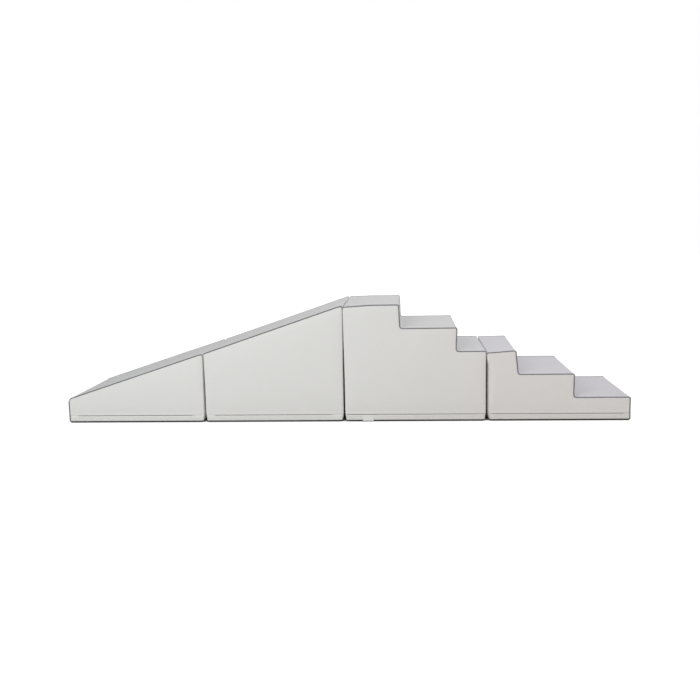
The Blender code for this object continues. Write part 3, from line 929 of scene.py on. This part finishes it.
def inflate(block):
    shell = block.shell
    before = [vert.co.copy() for vert in shell.data.vertices]
    cloth = shell.modifiers.new("air", "CLOTH")
    cloth.settings.use_pressure = True
    cloth.settings.uniform_pressure_force = PRESSURE
    cloth.settings.effector_weights.gravity = 0
    cloth.settings.vertex_group_mass = "sewn"
    cloth.settings.quality = 4
    cloth.collision_settings.use_collision = False
    cloth.point_cache.frame_start = 1
    cloth.point_cache.frame_end = LAST_FRAME
    for number in range(1, LAST_FRAME + 1):
        bpy.context.scene.frame_set(number)
    make_active(shell)
    bpy.ops.object.modifier_apply(modifier=cloth.name)
    bpy.context.scene.frame_set(1)
    return before


def ease_moves(block, before):
    """Keeps each point's direction, and eases how far it went towards its panel's crown."""
    mesh = block.shell.data
    numbers = mesh.attributes["panel"].data
    most = [0.0] * len(mesh.vertices)
    for face in mesh.polygons:
        crown = CROWNS[numbers[face.index].value]
        for index in face.vertices:
            most[index] = max(most[index], crown)
    largest = 0
    for vert, start in zip(mesh.vertices, before):
        move = vert.co - start
        largest = max(largest, move.length)
        crown = most[vert.index]
        share = crown * (1 - math.exp(-move.length / (EASE * crown))) if crown else 0
        vert.co = start + move.normalized() * share
    return largest


for block in BLOCKS:
    largest = ease_moves(block, inflate(block))
    print(block.name, "largest free move in mm:", round(largest / MM, 1))

# %% [markdown]
# ## Foam cores
# The foam fills its cover, so its shape is the filled shell again, smaller by a little more than the
# cover's thickness. A long shallow channel behind the zip keeps the tape and its slider free of the foam.

# %% Model the foam cores
SKIN = 1.2 * MM
FOAM_INSET = 1.8 * MM
CHANNEL_DEPTH = 6.5 * MM


def foam_core(block):
    make_active(block.shell)
    bpy.ops.object.duplicate()
    core = bpy.context.object
    core.name = f"{block.name}_foam"
    shifts = [vert.normal * FOAM_INSET for vert in core.data.vertices]
    for vert, shift in zip(core.data.vertices, shifts):
        vert.co -= shift
    low, high = block.left + block.zip_start - ZIP_SPARE, block.left + block.zip_end + ZIP_SPARE
    edit(core)
    panel = panel_numbers()

    def in_channel(face):
        middle = face.calc_center_median()
        level = ZIP_ROWS[0] < middle.z < ZIP_ROWS[-1]
        return face[panel] == FRONT and level and low < middle.x < high

    choose("FACE", in_channel)
    extrude((0, CHANNEL_DEPTH, 0))
    return finish_edit()


for block in BLOCKS:
    block.foam = foam_core(block)
    print(block.foam.name, len(block.foam.data.polygons), "faces")

# %% [markdown]
# ## Taking the cover apart
# Each panel becomes its own piece. Its faces are chosen by their number and separated from the shell.
# The shell is empty in the end and is removed.

# %% Separate the panels
PANEL_NAMES = {FRONT: "front", BACK: "back", TOP: "top", BASE: "base", LEFT_END: "left_end",
               RIGHT_END: "right_end"}


def separate_panel(block, number):
    edit(block.shell)
    panel = panel_numbers()
    if not choose("FACE", lambda f: f[panel] == number):
        finish_edit()
        return
    piece = separated(block.shell)
    piece.name = f"{block.name}_{PANEL_NAMES[number]}_cover"
    block.covers[PANEL_NAMES[number]] = piece


for block in BLOCKS:
    block.covers = {}
    for number in PANEL_NAMES:
        separate_panel(block, number)
    bpy.data.objects.remove(block.shell)
    print(block.name, "covers:", list(block.covers))

# %% [markdown]
# ## The concealed zip's groove
# A concealed zip shows as a narrow slit between two folded lips. The slit's faces are deleted from the
# front cover, the edge of the hole is extruded inwards for the folds, and the rows beside it are pulled
# out a little, so that the lips stand proud and catch the light. Past the slit's ends the cover keeps a
# shallow crease.

# %% Cut the zip's slit
LIP_FOLD = 2.0 * MM
LIP_PROUD = 0.9 * MM
CREASE_DEPTH = 1.4 * MM


def cut_slit(block):
    edit(block.covers["front"])
    low, high = block.left + block.zip_start, block.left + block.zip_end
    slit_low, slit_high = ZIP_ROWS[3], ZIP_ROWS[4]

    def in_slit(face):
        middle = face.calc_center_median()
        return slit_low < middle.z < slit_high and low < middle.x < high

    choose("FACE", in_slit)
    bpy.ops.mesh.delete(type="FACE")

    def at_slit_level(vert):
        return slit_low - HAIR < vert.co.z < slit_high + HAIR

    def along_slit(vert):
        return low - HAIR < vert.co.x < high + HAIR

    choose("EDGE", lambda e: e.is_boundary and all(at_slit_level(v) and along_slit(v) for v in e.verts))
    extrude((0, LIP_FOLD, 0))
    crests = (ZIP_ROWS[2], ZIP_ROWS[5])
    choose("VERT", lambda v: low < v.co.x < high and min(abs(v.co.z - z) for z in crests) < HAIR)
    bpy.ops.transform.translate(value=(0, -LIP_PROUD, 0))
    choose("VERT", lambda v: at_slit_level(v) and not along_slit(v))
    bpy.ops.transform.translate(value=(0, CREASE_DEPTH, 0))
    finish_edit()


for block in BLOCKS:
    cut_slit(block)
    print(block.name, "front faces:", len(block.covers["front"].data.polygons))

# %% [markdown]
# ## Settling
# Foam blocks that have been climbed on aren't exact. Their joint corners sag a little, most of all the
# half tread of the low steps, and some risers lean. The blocks lean on each other at the top of a joint
# and draw in at the floor, which leaves a dark wedge there. Where the hook and loop strips sit, they
# keep their distance. One function bends a block's covers, piping, foam and zip stitches alike.

# %% Let the blocks settle
LEAN_REACH = 60 * MM
FLOOR_PULL = 4.5 * MM
FLOOR_PULL_REACH = 40 * MM
OPENING_REACH = (200 * MM, 240 * MM)
DROOP_START = 60 * MM
DROOP_AT_BACK = 0.3
BULGE_REACH = 110 * MM
STRIP_LEVEL = 0.55
STRIP_ENDS = (182 * MM, 206 * MM)
STRIP_EDGES = (27 * MM, 70 * MM)


def rise(value, low, high):
    """0 below low, 1 above high, and smooth between."""
    share = min(max((value - low) / (high - low), 0), 1)
    return share * share * (3 - 2 * share)


def at_strips(point, height):
    """1 where the hook and loop strips hold two blocks apart, and 0 well away from them."""
    beside = 1 - rise(abs(point.y), *STRIP_ENDS)
    return beside * (1 - rise(abs(point.z - STRIP_LEVEL * height), *STRIP_EDGES))


def settled(block, point):
    x = point.x - block.left
    moved = point.copy()
    if block.droop:
        near = 1 - rise(x, 0, block.droop_reach)
        near *= 1 - (1 - DROOP_AT_BACK) * rise(point.y, -FACE_Y, FACE_Y)
        moved.z -= block.droop * near * rise(point.z, DROOP_START, block.corners[1][1])
    for place, level, height, front, back in block.bulges:
        shift = front + (back - front) * rise(point.y, -FACE_Y, FACE_Y)
        beside = 1 - rise(abs(x - place), 0, BULGE_REACH)
        moved.x += shift * beside * (1 - rise(abs(point.z - level), 0, height))
    joints = ((block.left_joint, -1, x, block.corners[1][1]),
              (block.right_joint, 1, LENGTH - x, block.corners[-2][1]))
    for joint, way, distance, height in joints:
        if joint:
            most, start, full, opening = joint
            closed = rise(point.z / height, start, full)
            lean = most * closed * (1 - at_strips(point, height))
            lean -= opening * (1 - closed) * rise(abs(point.y), *OPENING_REACH)
            lean -= FLOOR_PULL * (1 - rise(point.z, 0, FLOOR_PULL_REACH))
            moved.x += way * lean * (1 - rise(distance, 0, LEAN_REACH))
    return moved


def settle(block, obj):
    for vert in obj.data.vertices:
        vert.co = settled(block, vert.co)


for block in BLOCKS:
    for piece in (*block.cords, block.foam, *block.covers.values()):
        settle(block, piece)
print("Settled blocks:", len(BLOCKS))

# %% [markdown]
# ## Finishing the covers
# One level of Subdivision Surface rounds the cells, and Solidify gives the leather its thickness,
# inwards, so the outside keeps its place. Both are applied. Each piece then takes its finish, rides on
# its block's body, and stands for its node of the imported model.

# %% Finish and place the soft pieces
SMOOTH_ANGLE = math.radians(50)


def thicken(obj, thickness=SKIN):
    make_active(obj)
    modify(obj, "SUBSURF", levels=1, render_levels=1, boundary_smooth="PRESERVE_CORNERS")
    modify(obj, "SOLIDIFY", thickness=thickness, offset=-1)


def dress(obj, finish, body, node=None):
    """Gives a piece its material and body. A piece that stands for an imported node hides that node."""
    make_active(obj)
    obj.data.materials.clear()
    obj.data.materials.append(FINISHES[finish])
    obj.vertex_groups.clear()
    bpy.ops.object.shade_smooth_by_angle(angle=SMOOTH_ANGLE)
    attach(obj, body)
    if node:
        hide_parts(node)


for block in BLOCKS:
    for part, cover in block.covers.items():
        thicken(cover)
        finish = {"top": "tread_leather", "base": "base_fabric"}.get(part, "cover_leather")
        dress(cover, finish, block.name, node=f"{block.name}_{part}_panel")
    for cord, side in zip(block.cords, ("front", "back")):
        dress(cord, "piping", block.name, node=f"{block.name}_{side}_piping")
    dress(block.foam, "foam", block.name, node=f"{block.name}_foam_core")
    print(block.name, "dressed")

# %% [markdown]
# ## Blank ribbon tab
# The tall steps carry a short blank ribbon under their zip. It is sewn on along its upper edge and
# hangs a little off the cover below. A flat grid is bent to that curve, with a slight wave along it.
# The helper that adds the grid makes the zip tapes later.

# %% Model the ribbon tab
TAB_THICKNESS = 0.6 * MM
TAB_CURL = 1.1 * MM
TAB_WAVE = 0.35 * MM
WAVE_RADIANS, WAVE_START = 7, 0.6
SEWN_SHARE = 0.2


def upright_grid(name, low, width, height, columns, rows):
    """A flat grid that faces the front. Its lower left corner is at low."""
    bpy.ops.object.select_all(action="DESELECT")
    bpy.ops.mesh.primitive_grid_add(x_subdivisions=columns, y_subdivisions=rows, size=1,
                                    location=low + Vector((width / 2, 0, height / 2)),
                                    rotation=(math.pi / 2, 0, 0))
    grid = bpy.context.object
    grid.name = name
    grid.scale = (width, height, 1)
    bpy.ops.object.transform_apply(location=True, rotation=True, scale=True)
    return grid


def ribbon_tab():
    low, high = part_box("tall_steps_blank_tab")
    width, _, height = high - low
    tab = upright_grid("tall_steps_ribbon_tab", low, width, height, 12, 6)
    for vert in tab.data.vertices:
        hang = rise(high.z - vert.co.z, SEWN_SHARE * height, height)
        across = (vert.co.x - low.x) / width
        vert.co.y -= hang * (TAB_CURL + TAB_WAVE * math.sin(across * WAVE_RADIANS + WAVE_START))
    thicken(tab, TAB_THICKNESS)
    return tab


dress(ribbon_tab(), "tab_fabric", "tall_steps", node="tall_steps_blank_tab")
print("Ribbon tab done")

# %% [markdown]
# ## Stitches
# A lockstitch shows as a row of short threads that dip into the leather at both ends. One thread is a
# curve with a round bevel, made a mesh, and an Array modifier copies it along the row. The same helper
# makes a zip's coil later, whose turns are short threads across the row. Two rows run beside each zip,
# and one row holds the ribbon tab.

# %% Sew the rows of stitches
STITCH = [(-1.5, -0.6, 0), (-0.9, 0.12, 0), (0.9, 0.12, 0), (1.5, -0.6, 0)]
STITCH_PITCH = 4 * MM
THREAD_RADIUS = 0.26 * MM
ROW_LIFT = 0.2 * MM
TAB_SEAM = 2 * MM
TO_FRONT = Vector((0, -1, 0))


def thread_row(name, thread, start, end, out, pitch, radius):
    """Copies of one thread from start to end. Its points, in mm, go along, outwards and across."""
    along = (end - start).normalized()
    across = along.cross(out)
    curve = bpy.data.curves.new(name, "CURVE")
    curve.dimensions = "3D"
    spline = curve.splines.new("POLY")
    spline.points.add(len(thread) - 1)
    for point, (forward, outward, sideways) in zip(spline.points, thread):
        shift = (along * forward + out * outward + across * sideways) * MM
        point.co = (*(start + along * (pitch / 2) + shift), 1)
    curve.bevel_depth = radius
    curve.bevel_resolution = 1
    curve.use_fill_caps = True
    row = bpy.data.objects.new(name, curve)
    bpy.context.scene.collection.objects.link(row)
    make_active(row)
    bpy.ops.object.convert(target="MESH")
    row = bpy.context.object
    modify(row, "ARRAY", use_relative_offset=False, use_constant_offset=True,
           constant_offset_displace=along * pitch, count=int((end - start).length / pitch))
    return row


def stitches(name, start, end, out):
    return thread_row(name, STITCH, start, end, out, STITCH_PITCH, THREAD_RADIUS)


for block in BLOCKS:
    for word, level in (("lower", ZIP_ROWS[1]), ("upper", ZIP_ROWS[6])):
        start = Vector((block.left + block.zip_start, -FACE_Y - ROW_LIFT, level))
        end = start + Vector((block.zip_end - block.zip_start, 0, 0))
        row = stitches(f"{block.name}_{word}_zip_stitches", start, end, TO_FRONT)
        settle(block, row)
        dress(row, "thread", block.name)
    print(block.name, "faces in each zip row:", len(row.data.polygons))

low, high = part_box("tall_steps_blank_tab")
start = Vector((low.x + TAB_SEAM, low.y, high.z - TAB_SEAM))
end = Vector((high.x, low.y, high.z - TAB_SEAM))
dress(stitches("tall_steps_tab_stitches", start, end, TO_FRONT), "thread", "tall_steps")

# %% [markdown]
# ## Zip tapes and coils
# A nylon zip is a woven tape with a coil of plastic wire sewn along its middle. The tape's two edges
# are sewn behind the front cover, and its web lies deeper, so that the slider has room. The tape starts
# as its lower edge strip, and its top edge is extruded step by step along the profile. The coil is one
# turn of wire, repeated.

# %% Model the zip tapes and coils
ZIP_HEIGHT = 30 * MM
TAPE_EDGE = 4 * MM
TAPE_CELLS = 48
TAPE_STEPS = [(4.5, 1.4), (0, 6.2), (0, 0.8), (0, 6.2), (-4.5, 1.4), (0, 4)]
TAPE_THICKNESS = 0.8 * MM
COIL_TURN = [(-0.15, -1.1, -2.3), (0, 0, -2.0), (0.45, 0, 2.0), (0.6, -1.1, 2.3)]
COIL_PITCH = 1.4 * MM
COIL_WIRE = 0.36 * MM
COIL_DEPTH = 5.0 * MM


def zip_tape(block):
    low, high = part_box(f"{block.name}_zip_tape")
    tape = upright_grid(f"{block.name}_woven_tape", low, high.x - low.x, TAPE_EDGE, TAPE_CELLS, 1)
    edit(tape)
    top = low.z + TAPE_EDGE - HAIR
    choose("EDGE", lambda e: all(v.co.z > top for v in e.verts))
    for deeper, up in TAPE_STEPS:
        extrude((0, deeper * MM, up * MM))
    finish_edit()
    thicken(tape, TAPE_THICKNESS)
    dress(tape, "zip_tape", block.name, node=f"{block.name}_zip_tape")
    start = Vector((low.x, COIL_DEPTH - FACE_Y, ZIP_HEIGHT))
    end = Vector((high.x, COIL_DEPTH - FACE_Y, ZIP_HEIGHT))
    coil = thread_row(f"{block.name}_coil", COIL_TURN, start, end, TO_FRONT, COIL_PITCH, COIL_WIRE)
    dress(coil, "coil", block.name)
    return coil


for block in BLOCKS:
    print(block.name, "coil faces:", len(zip_tape(block).data.polygons))

# %% [markdown]
# ## Hook and loop strips
# Each joint holds together with a strip of hooks on one block and a strip of loops on the other. A
# strip is a flat woven band whose margin carries the stitches, and its field stands higher. A box at
# the strip's size has its corners rounded, its outer face pushed back to the height of the margin, and
# the field inset and raised again.

# %% Model the hook and loop strips
STRIP_CORNER = 4 * MM
STRIP_MARGIN = 4 * MM
FIELD_RAISE = 1.1 * MM
SOFT_EDGE = 0.25 * MM


def fastener_strip(block, end, kind):
    """A strip on the block's left or right end, and its rows of stitches."""
    node = f"{block.name}_{end}_{kind}"
    out = Vector((-1.0 if end == "left" else 1.0, 0, 0))
    low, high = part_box(node)
    strip = add_box((low + high) / 2, high - low)
    strip.name = f"{block.name}_{end}_{kind.split('_')[0]}_band"
    edit(strip)
    choose("EDGE", lambda e: abs((e.verts[0].co - e.verts[1].co).normalized().x) > 0.9)
    bpy.ops.mesh.bevel(offset=STRIP_CORNER, segments=4, affect="EDGES")
    choose("FACE", lambda f: f.normal.dot(out) > 0.9)
    bpy.ops.transform.translate(value=-out * FIELD_RAISE)
    bpy.ops.mesh.inset(thickness=STRIP_MARGIN)
    extrude(out * FIELD_RAISE)
    finish_edit()
    modify(strip, "BEVEL", width=SOFT_EDGE, segments=2)
    dress(strip, kind, block.name, node=node)
    level = (high if end == "right" else low).x - out.x * (FIELD_RAISE - ROW_LIFT / 2)
    near = STRIP_MARGIN / 2
    y0, y1, z0, z1 = low.y + near, high.y - near, low.z + near, high.z - near
    corners = [Vector((level, y, z)) for y, z in ((y0, z0), (y1, z0), (y1, z1), (y0, z1))]
    for number, (start, stop) in enumerate(zip(corners, corners[1:] + corners[:1])):
        row = stitches(f"{block.name}_{end}_band_stitches_{number}", start, stop, out)
        dress(row, "thread", block.name)
    return strip


for block in BLOCKS:
    if block.left_joint:
        fastener_strip(block, "left", "hook_strip")
    if block.right_joint:
        fastener_strip(block, "right", "loop_strip")
    print(block.name, "strips sewn on")

# %% [markdown]
# ## Zip sliders
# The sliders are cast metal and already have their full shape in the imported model, so they keep it and
# only get a better finish in their material slot.

# %% Finish the zip sliders
for block in BLOCKS:
    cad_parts[f"{block.name}_zip_slider"].material_slots[0].material = FINISHES["zip_metal"]
print("Finished sliders:", len(BLOCKS))

# %% [markdown]
# ## Floor, backdrop and light
# The photo is a cut-out on white. The floor shows white to the camera, mixed with its own shading, so
# the blocks keep a faint contact shadow. The light is soft and even, a little stronger from the left.

# %% Set the stage
FLOOR_SIZE = 30
FLOOR_GAP = 0.2 * MM
FLOOR_GREY = (0.45, 0.45, 0.45)
SHADOW_REACH = 30 * MM
HIDDEN_TO_OPEN = (0.3, 0.62)
WHITE_RING = (1.6, 2.6)
GLOW_SHARE, GLOW_STRENGTH = 0.8, 1.2
SKY_STRENGTH, BACKDROP_STRENGTH = 0.5, 1.0


def white_floor():
    """White to the camera, save close to the blocks, where the open sky above the floor is hidden."""
    finish = Finish("studio_floor", roughness=0.9)
    finish.colour(FLOOR_GREY)
    path = finish.tree.nodes.new("ShaderNodeLightPath")
    seen = sum((Value(finish, path.outputs[f"Is {ray} Ray"]) for ray in ("Glossy", "Transmission")),
               Value(finish, path.outputs["Is Camera Ray"]))
    opening = finish.node("ShaderNodeAmbientOcclusion", {}, {"Distance": SHADOW_REACH}, output="AO")
    x, y, _ = finish.axes()
    away = finish.maths("SQRT", x * x + y * y)
    near_white = finish.step(opening, *HIDDEN_TO_OPEN) * GLOW_SHARE
    share = finish.maths("MAXIMUM", near_white, finish.step(away, *WHITE_RING))
    glow = finish.node("ShaderNodeEmission", {}, {"Color": (1, 1, 1), "Strength": GLOW_STRENGTH})
    blend = finish.tree.nodes.new("ShaderNodeMixShader")
    finish.set(blend.inputs[0], finish.step(seen, 0, 1) * share)
    finish.tree.links.new(finish.shader.outputs[0], blend.inputs[1])
    finish.tree.links.new(glow.socket, blend.inputs[2])
    finish.tree.links.new(blend.outputs[0], finish.tree.nodes["Material Output"].inputs[0])
    return finish.material


bpy.ops.object.select_all(action="DESELECT")
bpy.ops.mesh.primitive_plane_add(size=FLOOR_SIZE, location=(0, 0, -FLOOR_GAP))
floor = bpy.context.object
floor.name = "floor"
floor.data.materials.append(white_floor())

world = bpy.data.worlds.new("studio")
bpy.context.scene.world = world
world.use_nodes = True
nodes, links = world.node_tree.nodes, world.node_tree.links
sky = nodes["Background"]
backdrop = nodes.new("ShaderNodeBackground")
for background, strength in ((sky, SKY_STRENGTH), (backdrop, BACKDROP_STRENGTH)):
    background.inputs["Strength"].default_value = strength
    background.inputs["Color"].default_value = (1, 1, 1, 1)
path, mixer = nodes.new("ShaderNodeLightPath"), nodes.new("ShaderNodeMixShader")
links.new(path.outputs["Is Camera Ray"], mixer.inputs[0])
links.new(sky.outputs[0], mixer.inputs[1])
links.new(backdrop.outputs[0], mixer.inputs[2])
links.new(mixer.outputs[0], nodes["World Output"].inputs[0])


def soft_box(name, place, target, size, power, colour):
    lamp = bpy.data.objects.new(name, bpy.data.lights.new(name, "AREA"))
    lamp.data.shape = "DISK"
    lamp.data.size = size
    lamp.data.energy = power
    lamp.data.color = colour
    lamp.location = place
    lamp.rotation_euler = (Vector(target) - Vector(place)).to_track_quat("-Z", "Y").to_euler()
    bpy.context.scene.collection.objects.link(lamp)


soft_box("key", (-1.3, -3.0, 1.9), (-0.3, 0, 0.2), 2.0, 50, (0.97, 1.0, 1.0))
soft_box("top", (1.0, 0.5, 3.0), (0.2, 0, 0.2), 2.4, 43, (1.0, 1.0, 1.0))
soft_box("fill", (3.2, -2.6, 1.6), (0.3, 0, 0.2), 2.0, 14, (1.0, 0.92, 0.86))

view_settings = bpy.context.scene.view_settings
view_settings.view_transform = "Standard"
